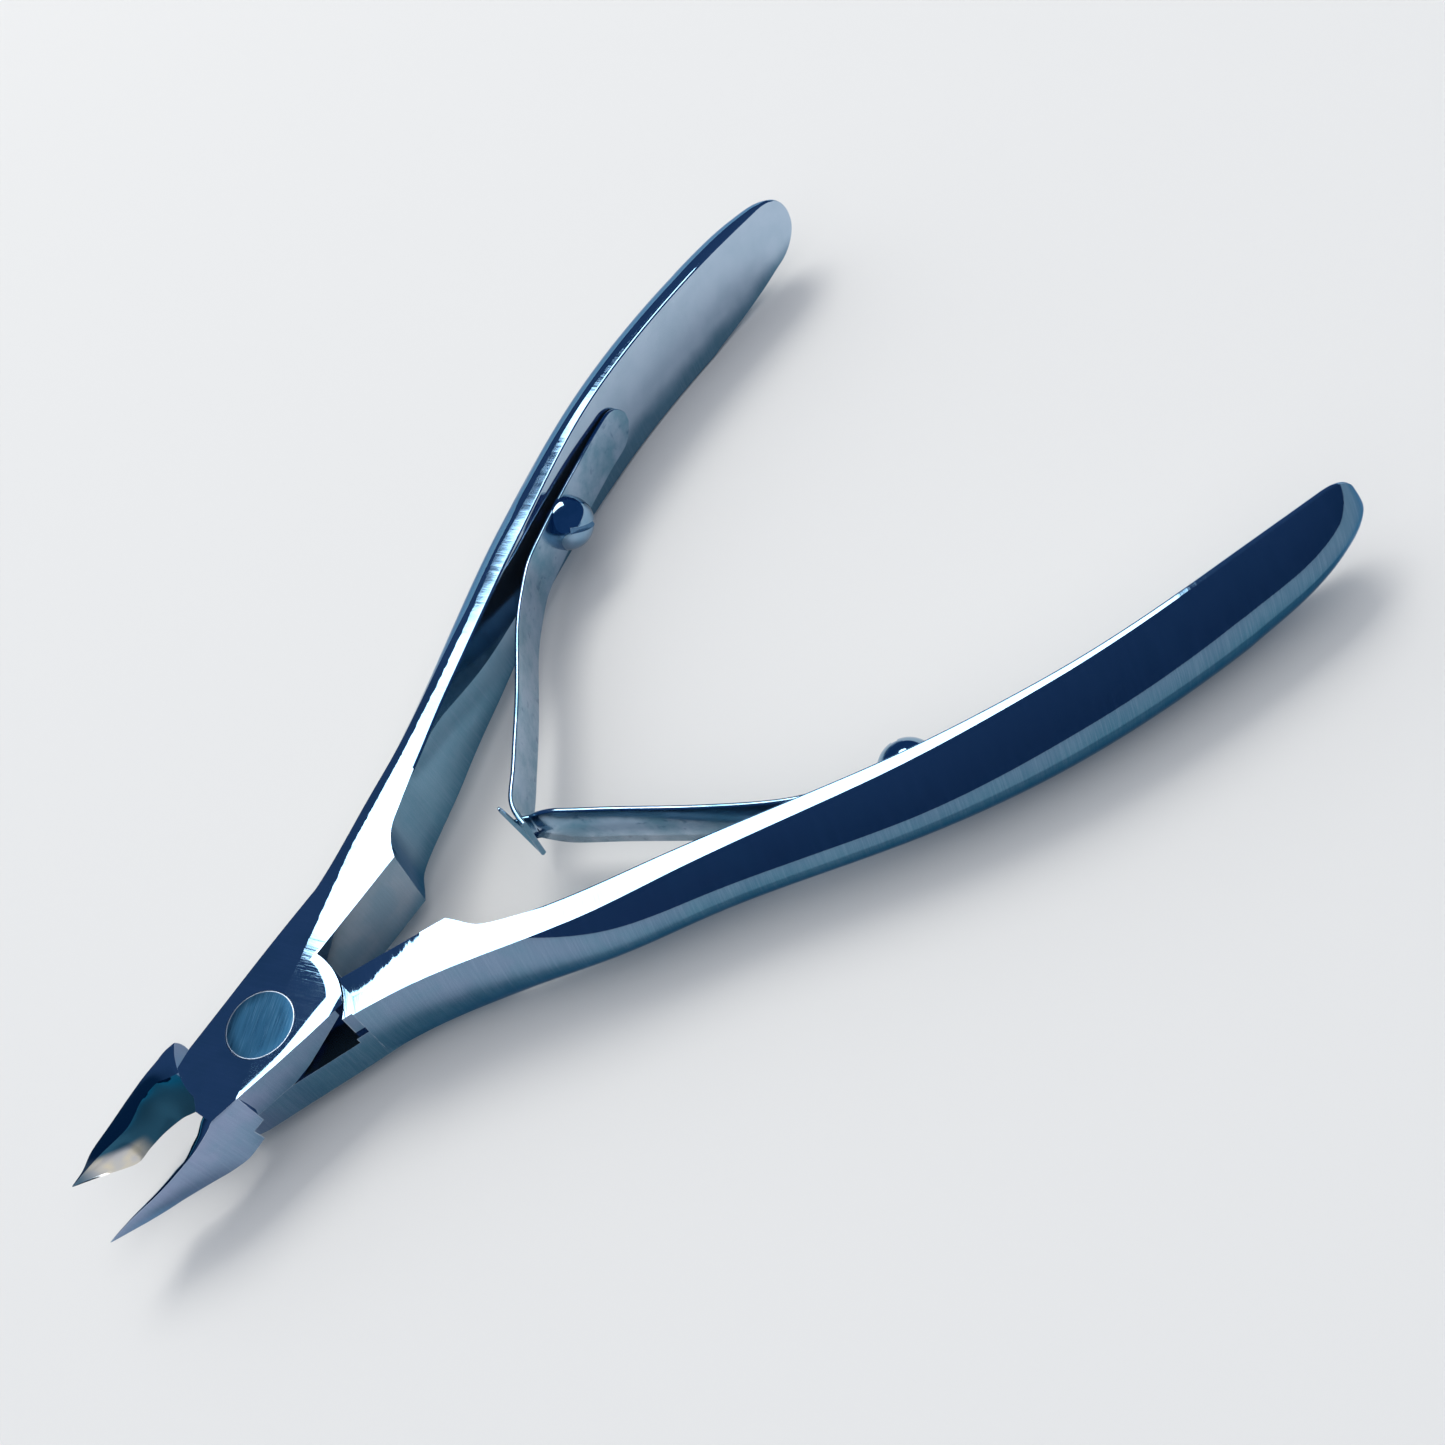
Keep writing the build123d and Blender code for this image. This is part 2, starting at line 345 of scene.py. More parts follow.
# ---------------------------------------------------------------- joint and jaws
UPPER_FLAT = 12.0                # direction of each half's crotch flat in plan, in degrees
LOWER_FLAT = 16.3
LOWER_PUSH = 0.25                # how far out the lower half's shoulder is moved
SIDE_X = [-5.2, -1.0, 4.2, 11.0]
SIDE_Y = [3.0, 4.0, 5.25, 6.72]
PLATE_END = 10.8
NOSE_ARC = (161.0, 186.9)
REAR_CORNER = (5.66, -3.95)
PLATE_FRONT = [(-7.7, -2.1), (-7.3, -3.8), (-4.1, -3.84), (-1.1, -3.95), (2.0, -4.0)]
PLATE_FOOT = -0.6                # a plate starts below the lap, and is cut away there
PLATE_PROUD = 0.35               # above the joint's face before it is trimmed
WEB_PROUD = 0.25
# plan of the shoulder that ends the crotch flat, along its top and its foot
SHOULDER_TOP = [(16.43, 3.5), (16.99, 4.77), (18.02, 6.11), (19.82, 7.38), (22.7, 9.25)]
SHOULDER_LOW = [(16.1, 3.42), (16.8, 4.45), (17.5, 5.5), (19.16, 6.68), (22.7, 8.6)]


def side_curve():
    """The plate's outer side in plan, from the handle to the nose."""
    curve = spline(SIDE_X, SIDE_Y)
    return [(x, curve(x)) for x in np.linspace(PLATE_END, SIDE_X[0], 20)]


def shoulder(points, flat_angle, push, count=14):
    """Smooth plan curve from the flat's end up onto the handle's inner face."""
    turn = radians(flat_angle - UPPER_FLAT)
    t = range(len(points))
    fx, fy = spline(t, [p[0] for p in points]), spline(t, [p[1] for p in points])
    curve = [(fx(u), fy(u)) for u in np.linspace(0, len(points) - 1, count)]
    moved = [(x * cos(turn) - y * sin(turn), x * sin(turn) + y * cos(turn)) for x, y in curve]
    share = np.linspace(0, 1, count)
    return [(x, y + push * min(s * 1.6, 1)) for s, (x, y) in zip(share, moved)]


def web(flat_angle, push):
    """Block between the joint and the handle, with its flat and the shoulder that ends it."""
    start = polar(REAR_R + TURN_GAP - 0.4, flat_angle)
    side = [(22.7, 10.4 + 6 * push), (19.0, 8.9 + 4 * push), (14.0, 7.4), (4.5, 5.0)]
    low = [start] + shoulder(SHOULDER_LOW, flat_angle, push) + side
    top = [start] + shoulder(SHOULDER_TOP, flat_angle, push) + side
    low_z, top_z = -HALF - WEB_PROUD, HALF + WEB_PROUD
    return solid("web", [[(x, y, low_z) for x, y in low], [(x, y, top_z) for x, y in top]])


def plate_outline(flat_angle):
    """Plan of the joint's plate: rear arc, crotch, outer side, nose arc and -Y side."""
    rear_angle = np.degrees(atan2(REAR_CORNER[1], REAR_CORNER[0]))
    points = arc_points(REAR_R, rear_angle, flat_angle, 60)
    points += [(PLATE_END, 3.4)] + side_curve()
    return points + arc_points(FRONT_R, *NOSE_ARC, 10) + PLATE_FRONT


def under_plate():
    """Everything that must be cut away below the lap, round the joint and in front of it."""
    behind = arc_points(REAR_R + TURN_GAP, -75, 75, 96)
    in_front = [(1.8, 12), (-12, 12), (-12, -12), (1.8, -12)]
    return prism("under", behind + in_front, -HALF - 1, LAP_GAP)


def trimming(low, high):
    """Slab over or under the joint, which cuts proud pieces level."""
    return prism("trimming", [(-15, -15), (LAND_END, -15), (LAND_END, 20), (-15, 20)], low, high)


def relief():
    """The wedge that is cut away under the plate's rear corner."""
    wedge = [(-0.4, 0), (5.2, 2.75), (8.0, 2.75), (8.0, -1), (-0.4, -1)]
    return solid("wedge", [[(x, y, z) for x, z in wedge] for y in (-2.45, -6.0)])


# jaw lines: distance from the rivet along the closing plane, distance out from it, height
UPPER_RIDGE = [
    (JAW_START, 2.97, 3.42), (7.82, 2.47, 3.42), (8.2, 2.6, 3.32), (9.8, 2.75, 3.03), (11.6, 2.39, 2.45),
]
LOWER_RIDGE = [
    (JAW_START, 3.3, 3.44), (6.27, 3.46, 3.42), (7.3, 3.42, 3.34), (8.5, 3.08, 3.2), (9.8, 2.78, 2.98),
    (11.6, 2.39, 2.45),
]
RIDGE_END = [(14.1, 1.72, 1.74), (16.4, 0.97, 1.24), (17.8, 0.37, 0.64), (JAW_TIP, 0.03, 0.3)]
FACET = [
    (JAW_START, 0.6, 3.2), (8.1, 1.25, 2.95), (9.4, 1.75, 2.65), (11.0, 1.75, 1.98), (12.1, 1.35, 1.5),
    (13.15, 1.05, 1.05), (14.1, 0.9, 0.9), (16.0, 0.6, 0.78), (17.7, 0.25, 0.56), (JAW_TIP, 0.02, 0.28),
]
UPPER_FLANK = [(JAW_START, 3.7, -1.35), (6.2, 3.8, -1.35), (7.95, 3.95, -1.3), (9.35, 3.6, -1.25)]
LOWER_FLANK = [(JAW_START, 3.1, -0.3), (8.1, 3.2, -1.0), (9.5, 3.3, -1.2)]
FLANK_END = [
    (11.15, 2.85, -1.12), (12.7, 2.15, -1.05), (14.3, 1.5, -1.0), (16.0, 0.95, -0.7), (17.3, 0.55, -0.35),
    (JAW_TIP, 0.06, 0.22),
]
INNER_FOOT = [
    (JAW_START, 0.6, -3.42), (8.1, 1.85, -3.42), (9.1, 1.8, -3.38), (10.15, 1.62, -2.85),
    (11.7, 1.3, -2.62), (13.2, 0.75, -2.45), (EDGE_HEEL, 0.0, -2.12), (16.8, 0.0, -0.95), (JAW_TIP, 0.0, 0.2),
]
HOLLOW = [
    (JAW_START, 0.6, 0), (8.1, 1.75, 0.3), (10.4, 2.1, 0), (12.7, 1.35, -0.5), (EDGE_HEEL, 0.6, -0.5),
    (16.9, 0.32, -0.1), (JAW_TIP, 0.015, 0.24),
]
# the same distance, then how wide a jaw's foot is, or how far its outer face bulges
FOOT_WIDTH = [
    (JAW_START, 1.7), (8.1, 0.45), (10.4, 0.27), (12.7, 0.2), (EDGE_HEEL, 0.13), (17, 0.09), (JAW_TIP, 0.03),
]
UPPER_BULGE = [(JAW_START, 0.15), (14.0, 0.15), (JAW_TIP, 0.0)]
LOWER_BULGE = [(JAW_START, 0.45), (8.1, 0.55), (10.4, 0.25), (14.0, 0.15), (JAW_TIP, 0.0)]
FOOT_RISE = 0.02                 # of a foot's outer edge above its inner one
FACET_CROWN = 0.19               # how far the facet below the ridge is crowned, of its height


def line_of(rows):
    """A jaw line as a function of the distance from the rivet."""
    return monotone([r[0] for r in rows], [r[1:] for r in rows])


def curve_through(a, b, c, count):
    """Points on the parabola from a to c whose middle is b, ends included."""
    handle = 2 * b - (a + c) / 2
    return [(1 - t) ** 2 * a + 2 * t * (1 - t) * handle + t * t * c for t in np.linspace(0, 1, count)]


def jaw(ridge, flank, bulge):
    """A jaw on the -Y side, closed: ridge on top, hollow inside, cutting edge at its front foot."""
    ridge, flank, bulge = line_of(ridge + RIDGE_END), line_of(flank + FLANK_END), line_of(bulge)
    facet, foot, hollow, width = (line_of(rows) for rows in (FACET, INNER_FOOT, HOLLOW, FOOT_WIDTH))
    rings = []
    near_tip = JAW_TIP - 0.6
    for d in list(np.arange(JAW_START, near_tip, 0.3)) + list(np.linspace(near_tip, JAW_TIP, 6)):
        top, side, in_foot = ridge(d), flank(d), foot(d)
        side_middle = (top + side) / 2 + np.array([bulge(d)[0], 0])
        out_foot = in_foot + np.array([width(d)[0], FOOT_RISE])
        facet_middle = (facet(d) + top) / 2 + np.array([0, FACET_CROWN * (top[1] - facet(d)[1])])
        points = curve_through(facet(d), facet_middle, top, 6)
        points += curve_through(top, side_middle, side, 9)[1:]
        points += curve_through(side, (side + out_foot) / 2, out_foot, 4)[1:]
        points += curve_through(in_foot, hollow(d), facet(d), 16)[:-1]
        rings.append([(-d, -out, z) for out, z in points])
    return solid("jaw", rings)


def turned(obj, angle, mirror=False):
    """Mirror the mesh if asked, in Y, then turn it round the rivet."""
    m = Matrix.Rotation(radians(angle), 4, "Z")
    if mirror:
        m = m @ Matrix.Diagonal((1, -1, 1, 1))
    obj.data.transform(m)
    if mirror:
        obj.data.flip_normals()
    return obj


SCREW_X = 49.1                   # where the screws are along the handles
SCREW_BORE_R = 1.26
SCREW_BORE_DEPTH = 3.3
THREAD_R = 1.2
THREAD_DEPTH = 3.1
SEAT = 0.62                      # underside of a screw's head above the handle's inner face
HEAD_R = 2.6
HEAD_RISE = 2.9
DOME_FOOT = 0.25                 # height of the straight rim under the dome
DOME_POWER = 0.82                # 1 is an ellipse, and less is fuller
SLOT_HALF = 0.28
SLOT_DEPTH = 0.85
UPPER_SLOT_TURN = 57             # of each screw's slot, in degrees
LOWER_SLOT_TURN = 8


def screw_matrix():
    """Turns the screw's own frame, with Z out of the handle's inner face, into the working frame."""
    columns = list(zip(*UPPER_ROWS))
    inner = spline(columns[0], columns[1])
    slope = atan2(inner(SCREW_X + 2) - inner(SCREW_X - 2), 4)
    across, out = Vector((cos(slope), sin(slope), 0)), Vector((sin(slope), -cos(slope), 0))
    frame_matrix = Matrix((across, out.cross(across), out)).transposed().to_4x4()
    return Matrix.Translation((SCREW_X, inner(SCREW_X), 0)) @ frame_matrix


def open_jaw(ridge, flank, bulge, angle, front, mirror=False):
    """A jaw turned open, cut back round the other half's plate between these two heights."""
    piece = turned(jaw(ridge, flank, bulge), angle, mirror)
    return combine(piece, drum("front", FRONT_R + TURN_GAP, *front), "DIFFERENCE")


def half(name, flat_angle, jaw_piece, rings, push):
    """A half whose plate is the upper one: handle on +Y, jaw on -Y."""
    body = solid(name, rings)
    combine(body, web(flat_angle, push), "UNION")
    plate = prism("plate", plate_outline(flat_angle), PLATE_FOOT, HALF + PLATE_PROUD)
    combine(body, plate, "UNION")
    combine(body, trimming(HALF, HALF + 3), "DIFFERENCE")
    combine(body, trimming(-HALF - 3, -HALF), "DIFFERENCE")
    combine(body, under_plate(), "DIFFERENCE")
    combine(body, relief(), "DIFFERENCE")
    combine(body, jaw_piece, "UNION")
    tidy(body.data, COARSE_TIDY)
    bevelled(body, EDGE_ROUND, EDGE_ANGLE)
    combine(body, drum("hole", BORE_R, -HALF - 1, HALF + 1, 160), "DIFFERENCE")
    screw_hole = drum("screw_hole", SCREW_BORE_R, -SCREW_BORE_DEPTH, 2.0, 48)
    screw_hole.data.transform(screw_matrix())
    combine(body, screw_hole, "DIFFERENCE")
    tidy(body.data, FINE_TIDY)
    return body


def upper_half():
    jaw_piece = open_jaw(UPPER_RIDGE, UPPER_FLANK, UPPER_BULGE, OPEN_ANGLE, (-HALF - 1, 0))
    rings = handle_sections(UPPER_ROWS, lambda x: smoothstep(26, 44, x), False)
    return half("half_upper", UPPER_FLAT, jaw_piece, rings, 0.0)


def lower_half():
    """The lower half, made upside down: place() turns it over."""
    jaw_piece = open_jaw(LOWER_RIDGE, LOWER_FLANK, LOWER_BULGE, -OPEN_ANGLE, (0, HALF + 1), True)
    jaw_piece.data.transform(Matrix.Rotation(pi, 4, "X"))
    rings = handle_sections(LOWER_ROWS, lambda x: 0.0, True)
    return half("half_lower", LOWER_FLAT, jaw_piece, rings, LOWER_PUSH)


# ---------------------------------------------------------------- rivet, springs and screws
RIVET_R = 2.92                   # the rivet's heads, their rims and its shank
RIM = 0.05
SHANK_R = 2.1
CENTRE_R = 0.02                  # innermost ring of a turned solid


def lathe(name, profile, count):
    """Closed solid turned round Z from (radius, height) pairs, listed from the bottom up."""
    turns = [2 * pi * k / count for k in range(count)]
    return solid(name, [[(r * cos(turn), r * sin(turn), z) for turn in turns] for r, z in profile])


def rivet():
    """Flush rivet, countersunk at both ends, with softly rounded rims."""
    quarter = np.linspace(0, pi / 2, 6)
    rim = [(RIVET_R - RIM * (1 - cos(a)), HALF - RIM * (1 - sin(a))) for a in quarter]
    side = [(SHANK_R, 1.85), (RIVET_R, 2.95)] + rim + [(2.0, HALF), (1.0, HALF), (CENTRE_R, HALF)]
    return lathe("rivet_flush", [(r, -z) for r, z in reversed(side)] + side, 128)


LEAF_HALF = 2.5                  # half width, half thickness and corner of a leaf
LEAF_SKIN = 0.22
LEAF_CORNER = 0.09
NECK_HALF = 1.6                  # the tongue's neck, and the cross head at its tip
CROSS_HALF = 4.0
# plan of each leaf, from its base under the screw to its tip; the lower one is drawn on the +Y side
LEAF_BASE = [(61.8, 28.0), (58.0, 26.63), (54.76, 25.2), (51.66, 23.78), (48.34, 22.16), (45.6, 20.75)]
UPPER_LEAF = LEAF_BASE + [
    (43.4, 19.45), (41.69, 18.0), (39.88, 16.3), (38.12, 14.4), (36.38, 12.25), (33.0, 8.05), (29.6, 4.14),
    (27.95, 2.28), (27.0, 1.3), (26.3, 0.4), (25.9, -0.55), (25.62, -2.2),
]
LOWER_LEAF = LEAF_BASE + [
    (43.2, 19.75), (41.4, 18.6), (39.75, 17.1), (37.0, 14.1), (33.93, 10.44), (30.87, 6.64), (28.75, 4.12),
    (27.3, 2.3), (26.5, 1.4), (25.9, 0.95), (25.25, 0.74),
]


def leaf(name, points, half_width, step=0.3):
    """Spring sheet that stands on edge along a smooth plan curve; half_width is a function of X."""
    points = np.array(points)
    run = np.concatenate([[0], np.cumsum(np.hypot(*np.diff(points, axis=0).T))])
    fx, fy = spline(run, points[:, 0]), spline(run, points[:, 1])
    t, c = LEAF_SKIN, LEAF_CORNER
    rings = []
    for u in np.linspace(0, run[-1], int(run[-1] / step)):
        dx, dy = fx(u + 0.01) - fx(u - 0.01), fy(u + 0.01) - fy(u - 0.01)
        nx, ny = -dy / hypot(dx, dy), dx / hypot(dx, dy)
        w = half_width(fx(u))
        if u < LEAF_HALF:
            w = sqrt(LEAF_HALF ** 2 - (LEAF_HALF - max(u, 0.08)) ** 2)
        ring = [(t, w - c), (t - c, w), (c - t, w), (-t, w - c)]
        ring += [(-o, -z) for o, z in ring]
        rings.append([(fx(u) + nx * o, fy(u) + ny * o, z) for o, z in ring])
    return solid(name, rings)


def slotted_leaf():
    """The leaf whose bent end has the slot, a little wider than the tongue's neck."""
    body = leaf("leaf_slotted", UPPER_LEAF, lambda x: LEAF_HALF)
    opening = [(24.6, -1.6), (27.0, -1.6), (27.0, -0.3), (24.6, -0.3)]
    return combine(body, prism("opening", opening, -2.0, 2.0), "DIFFERENCE")


def tongue_width(x):
    """Half width of the tongue leaf: full, then a neck, then the cross head at its tip."""
    neck = NECK_HALF + (LEAF_HALF - NECK_HALF) * sqrt(smoothstep(26.5, 28.3, x))
    head = smoothstep(25.6, 25.5, x) * (1 - 0.09 * smoothstep(25.32, 25.2, x))
    return neck + (CROSS_HALF - neck) * head


def mirrored(obj):
    """Mirror the mesh in Y."""
    obj.data.transform(Matrix.Diagonal((1, -1, 1, 1)))
    obj.data.flip_normals()
    return obj


def tongue_leaf():
    """The leaf whose tongue goes through the slot, with its tip leaning a little."""
    body = leaf("leaf_tongue", LOWER_LEAF, tongue_width, 0.07)
    for v in body.data.vertices:
        share = smoothstep(26.6, 25.7, v.co.x)
        v.co.x -= 0.11 * v.co.z * share
        v.co.y -= 0.05 * v.co.z * share
    return mirrored(body)


def spring_screw(name, slot_turn):
    """Slotted round-head screw, seated on a leaf of the +Y handle."""
    thread = [(CENTRE_R, -THREAD_DEPTH), (THREAD_R, -THREAD_DEPTH), (THREAD_R, SEAT)]
    rim = [(HEAD_R - 0.12, SEAT), (HEAD_R, SEAT + 0.1)]
    dome_rise = HEAD_RISE - DOME_FOOT
    turns = np.linspace(0, pi / 2 - 0.01, 22)
    dome = [(HEAD_R * cos(a) ** DOME_POWER, SEAT + DOME_FOOT + dome_rise * sin(a)) for a in turns]
    body = lathe(name, thread + rim + dome, 96)
    top, w, reach = SEAT + HEAD_RISE, SLOT_HALF, HEAD_R + 0.6
    groove = prism("groove", [(-w, -reach), (w, -reach), (w, reach), (-w, reach)], top - SLOT_DEPTH, top + 1)
    groove.data.transform(Matrix.Rotation(radians(slot_turn), 4, "Z"))
    combine(body, groove, "DIFFERENCE")
    bevelled(body, 0.06, 40)
    body.data.transform(screw_matrix())
    return body


# ---------------------------------------------------------------- materials
class Nodes:
    """Short calls that build one material's node tree."""

    def __init__(self, name):
        self.material = bpy.data.materials.new(name)
        self.material.use_nodes = True
        self.tree = self.material.node_tree
        self.shader = self.tree.nodes["Principled BSDF"]

    def add(self, kind, inputs=None, **settings):
        node = self.tree.nodes.new(kind)
        for key, value in settings.items():
            setattr(node, key, value)
        for key, value in (inputs or {}).items():
            self.put(node.inputs[key], value)
        return node

    def put(self, socket, value):
        if isinstance(value, bpy.types.NodeSocket):
            self.tree.links.new(value, socket)
        else:
            socket.default_value = value

    def math(self, operation, *values):
        node = self.add("ShaderNodeMath", operation=operation)
        for socket, value in zip(node.inputs, values):
            self.put(socket, value)
        return node.outputs[0]

    def dot(self, vector, direction):
        node = self.add("ShaderNodeVectorMath", {0: vector, 1: direction}, operation="DOT_PRODUCT")
        return node.outputs["Value"]

    def mix(self, factor, a, b):
        """From colour a, at 0, to colour b; a mix node's colours are its inputs 6 and 7."""
        node = self.add("ShaderNodeMix", {"Factor": factor, 6: a, 7: b}, data_type="RGBA")
        return node.outputs[2]

    def ramp(self, value, low, high, to_low=0.0, to_high=1.0):
        """Smooth step of a value between two limits; low may be the greater one."""
        inputs = {"Value": value, "From Min": low, "From Max": high, "To Min": to_low, "To Max": to_high}
        return self.add("ShaderNodeMapRange", inputs, interpolation_type="SMOOTHSTEP").outputs["Result"]

    def noise(self, vector, scale, detail=2.0, rough=0.5):
        inputs = {"Vector": vector, "Scale": scale, "Detail": detail, "Roughness": rough}
        return self.add("ShaderNodeTexNoise", inputs).outputs["Fac"]

    def coords(self):
        return self.add("ShaderNodeTexCoord").outputs["Object"]

    def mapped(self, vector, angle, scale):
        """Turn coordinates about Z, then stretch them; scale is cycles per metre on each axis."""
        rotated = self.add("ShaderNodeVectorRotate", {"Vector": vector, "Angle": -radians(angle)}).outputs[0]
        return self.add("ShaderNodeVectorMath", {0: rotated, 1: scale}, operation="MULTIPLY").outputs[0]

    def bump(self, height, distance):
        return self.add("ShaderNodeBump", {"Height": height, "Distance": distance}).outputs["Normal"]


TOP_BLUE = (0.19, 0.34, 0.50, 1)
# painted reflection: these six colours stand in for the floor and dark surroundings mirrored in the steel's
# side faces
JAW_SIDE_REFLECTION = (0.27, 0.33, 0.49, 1)
SIDE_REFLECTION_BLUE = (0.20, 0.29, 0.42, 1)
INNER_REFLECTION_BLUE = (0.48, 0.60, 0.74, 1)
OUTER_REFLECTION_TEAL = (0.10, 0.19, 0.29, 1)
CROTCH_REFLECTION_GREY = (0.31, 0.38, 0.46, 1)
SHOULDER_REFLECTION_TEAL = (0.19, 0.34, 0.45, 1)
# painted shade towards the foot of the side faces
FOOT_SHADE_TEAL = (0.05, 0.17, 0.26, 1)
WORN = (0.62, 0.70, 0.80, 1)
# painted shade in the jaws' hollows
HOLLOW_SHADE_BLUE = (0.03, 0.115, 0.19, 1)
CREAM = (0.80, 0.72, 0.55, 1)
PINK = (0.60, 0.60, 0.62, 1)
BLOTCH = (0.12, 0.27, 0.37, 1)
STREAK = (0.40, 0.52, 0.68, 1)
COAT_TINT = (0.35, 0.50, 0.68, 1)
RIVET_COLOURS = (0.010, 0.042, 0.085, 1), (0.017, 0.062, 0.115, 1)
RIVET_SCRATCH = (0.10, 0.20, 0.29, 1)
SPRING_COLOURS = (0.34, 0.47, 0.62, 1), (0.17, 0.34, 0.46, 1)
SPRING_MARK = (0.06, 0.16, 0.27, 1)
SCREW_COLOURS = (0.27, 0.40, 0.55, 1), (0.14, 0.31, 0.45, 1)
HALF_BRUSHING = 27               # direction of the handles and of the rivet's brushing, in degrees
RIVET_BRUSHING = 127
EDGE_SLOPE = 0.528               # rise of the cutting edge towards its tip
EDGE_DEPTH = 2.12                # of its heel below the joint's middle
CROTCH_NORMAL = (-0.2807, -0.9598)   # from the lower half's crotch flat into its land
EDGE_ROLL = 0.0278               # drop of a rolled edge, per squared millimetre from its border
ARC_ROLL = 0.045
OUTER_SLOPE = 0.085
RIVET_GRAIN = 6e-7                # bump heights, in metres
SCREW_GRAIN = 1.2e-6
SPRING_GRAIN = 6e-6


def millimetres(n, where):
    """X, Y and Z of a place, in millimetres."""
    return [n.dot(where, [1000 if i == axis else 0 for i in range(3)]) for axis in range(3)]


def plate_roll_off(n, x, y, streaks):
    """How far, in mm, polishing has rounded off the upper half's top.

    It slopes down along its -Y side, along its rear arc, and along the outside of its handle.
    """
    side = n.math("MAXIMUM", n.math("SUBTRACT", n.ramp(x, -1.0, 5.8, -3.3, -2.35), y), 0.0)
    radius = n.math("SQRT", n.math("ADD", n.math("MULTIPLY", x, x), n.math("MULTIPLY", y, y)))
    inset = n.math("MAXIMUM", n.math("SUBTRACT", REAR_R, radius), 0.0)
    reach = n.math("MINIMUM", n.math("MULTIPLY_ADD", y, -0.15, 0.95), n.math("MULTIPLY_ADD", y, -2.0, 3.5))
    arc = n.math("MAXIMUM", n.math("SUBTRACT", reach, inset), 0.0)
    side_drop = n.math("MULTIPLY", n.math("MULTIPLY", side, side), EDGE_ROLL)
    drop = n.math("MULTIPLY_ADD", n.math("MULTIPLY", arc, arc), ARC_ROLL, side_drop)
    ragged = n.math("MULTIPLY_ADD", streaks, 0.3, -0.15)
    past = n.math("SUBTRACT", x, 11.0)
    edge = n.math("MULTIPLY_ADD", past, n.math("MULTIPLY_ADD", past, 0.0025, 0.43), 5.85)
    border = n.math("MINIMUM", n.math("MULTIPLY_ADD", x, 0.575, -1.0), edge)
    outer = n.math("MAXIMUM", n.math("ADD", n.math("SUBTRACT", y, border), ragged), 0.0)
    return n.math("MULTIPLY_ADD", outer, OUTER_SLOPE, drop)


def crotch_roll_off(n, x, y, streaks):
    """How far, in mm, the lower half's top is rounded off along its crotch flat."""
    inset = n.math("ADD", n.math("MULTIPLY", x, CROTCH_NORMAL[0]), n.math("MULTIPLY", y, CROTCH_NORMAL[1]))
    reach = n.math("MINIMUM", n.math("MULTIPLY_ADD", x, -0.27, 4.5), 2.4)
    reach = n.math("MULTIPLY_ADD", streaks, 0.4, n.math("SUBTRACT", reach, 0.3))
    edge = n.math("MAXIMUM", n.math("SUBTRACT", reach, inset), 0.0)
    drop = n.math("MULTIPLY", n.math("MULTIPLY", edge, edge), EDGE_ROLL)
    return n.math("MULTIPLY", drop, n.math("GREATER_THAN", x, 6.6))


def jaw_masks(n, x, y, z, inward):
    """Where a jaw's hollow inner face is, which gets painted shade, and the honed band along its cutting
    edge.
    """
    tilt = radians(OPEN_ANGLE)
    out = n.math("ABSOLUTE", y)
    along = n.math("ADD", n.math("MULTIPLY", x, -cos(tilt)), n.math("MULTIPLY", out, sin(tilt)))
    edge_start = HALF - EDGE_DEPTH - EDGE_SLOPE * EDGE_HEEL
    height = n.math("SUBTRACT", z, n.math("MULTIPLY_ADD", along, EDGE_SLOPE, edge_start))
    inner_face = n.math("MULTIPLY", n.ramp(inward, 0.1, 0.35), n.math("LESS_THAN", x, -FRONT_R))
    reach = n.math("MULTIPLY", n.ramp(along, 12.6, 14.4), n.ramp(along, 18.6, 16.4, 0.1))
    band = n.math("MULTIPLY", n.ramp(height, 2.2, 1.3), reach)
    return inner_face, n.math("MULTIPLY", band, inner_face)


def painted_side_reflection(n, x, z, inward, clouds):
    """Painted reflection on faces that don't look up: colours for the floor and dark surroundings mirrored in
    the steel, changing along the tool, with painted shade down to its foot.
    """
    inside = n.math("MULTIPLY", n.ramp(inward, 0.2, 0.7), n.ramp(x, 4.0, 6.0))
    # painted reflection along the outer sides, lighter at the jaw and darker teal along the handle
    side = n.mix(n.ramp(x, -6.0, 2.0), JAW_SIDE_REFLECTION, SIDE_REFLECTION_BLUE)
    side = n.mix(n.ramp(x, 10.0, 42.0), side, OUTER_REFLECTION_TEAL)
    # painted reflection on the inner faces: grey at the crotch, teal at the shoulder, pale blue along the
    # handle
    inner = n.mix(n.ramp(x, 15.0, 20.0), CROTCH_REFLECTION_GREY, SHOULDER_REFLECTION_TEAL)
    side = n.mix(inside, side, n.mix(n.ramp(x, 32.0, 46.0), inner, INNER_REFLECTION_BLUE))
    # painted shade: darker teal towards the foot, with a ragged border
    low = n.math("ADD", n.math("MULTIPLY_ADD", clouds, 3.0, n.math("MULTIPLY", inward, 1.6)), z)
    share = n.math("MULTIPLY", n.ramp(low, 5.4, 2.6, 0.0, 0.85), n.ramp(x, -7.0, 1.0, 0.35, 1.0))
    return n.mix(share, side, FOOT_SHADE_TEAL)


def edge_wear(n, where):
    """Where the coating has worn off the edges, in patches."""
    smooth = n.add("ShaderNodeNewGeometry").outputs["Normal"]
    rounded = n.add("ShaderNodeBevel", {"Radius": 0.00012}, samples=4).outputs["Normal"]
    edge = n.math("SUBTRACT", 1.0, n.dot(rounded, smooth))
    patches = n.ramp(n.noise(where, 900.0, 3.0), 0.35, 0.65, 0.1, 0.7)
    return n.math("MULTIPLY", n.ramp(edge, 0.02, 0.14), patches)


